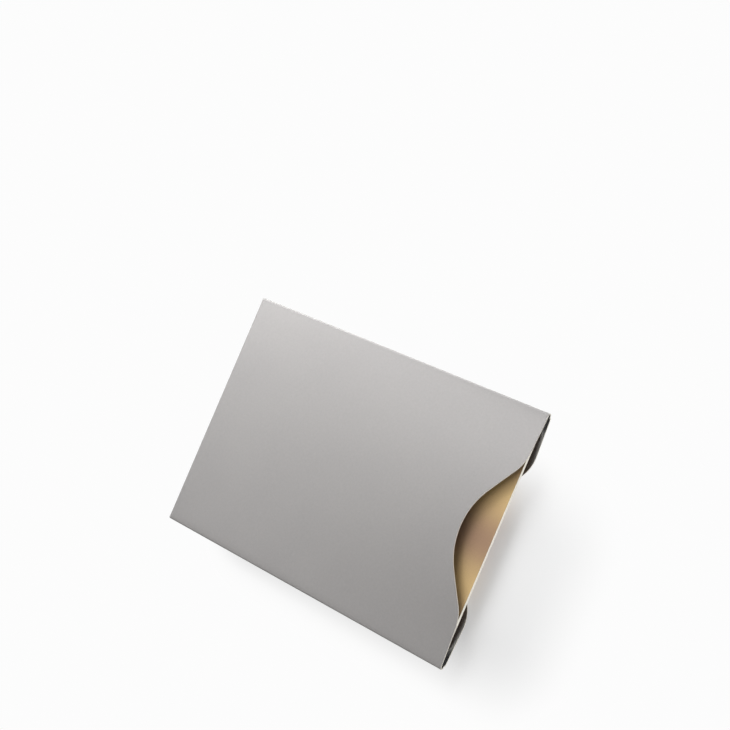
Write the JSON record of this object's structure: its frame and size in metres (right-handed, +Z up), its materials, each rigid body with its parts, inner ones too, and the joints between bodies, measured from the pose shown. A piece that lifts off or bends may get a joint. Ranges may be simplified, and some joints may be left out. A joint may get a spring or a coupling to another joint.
{
  "type": "rfid card sleeve",
  "caption": "Folded paper sleeve lined with metal foil, open at one short end with a thumb notch in both panels, holding one standard contactless card that slides in and out.",
  "frame": {"origin": "middle of the sleeve's footprint, on the surface that it lies on", "axes": "+X from the closed end to the open mouth, +Y across the sleeve, +Z up out of the front panel; the sleeve lies on its back, and its gaping mouth lifts that end, so the card's plane leans 1.28 degrees about Y"},
  "size_m": [0.088, 0.06, 0.0054],
  "materials": {
    "coated_paper": "satin coated",
    "shield_foil": "satin",
    "paper_glue": "matte",
    "card_print": "satin",
    "card_core": "matte",
    "copper_wire": "drawn",
    "chip_resin": "matte"
  },
  "bodies": {
    "sleeve": {"front_panel": "coated_paper", "back_panel": "coated_paper", "end_fold": "coated_paper", "top_side_fold": "coated_paper", "bottom_side_fold": "coated_paper", "top_glue_flap": "coated_paper", "bottom_glue_flap": "coated_paper", "front_foil": "shield_foil", "back_foil": "shield_foil", "end_fold_foil": "shield_foil", "top_fold_foil": "shield_foil", "bottom_fold_foil": "shield_foil", "top_flap_foil": "shield_foil", "bottom_flap_foil": "shield_foil", "top_glue_line": "paper_glue", "bottom_glue_line": "paper_glue"},
    "card": {"card_front_sheet": "card_print", "card_core_sheet": "card_core", "card_antenna_sheet": "card_core", "card_back_sheet": "card_print", "antenna_coil": "copper_wire", "chip_module": "chip_resin"}
  },
  "joints": [
    {"name": "card_slide", "type": "slide", "parent": "sleeve", "child": "card", "axis": [0.9998, 0, 0.0223], "range_m": [0, 0.09]}
  ]
}
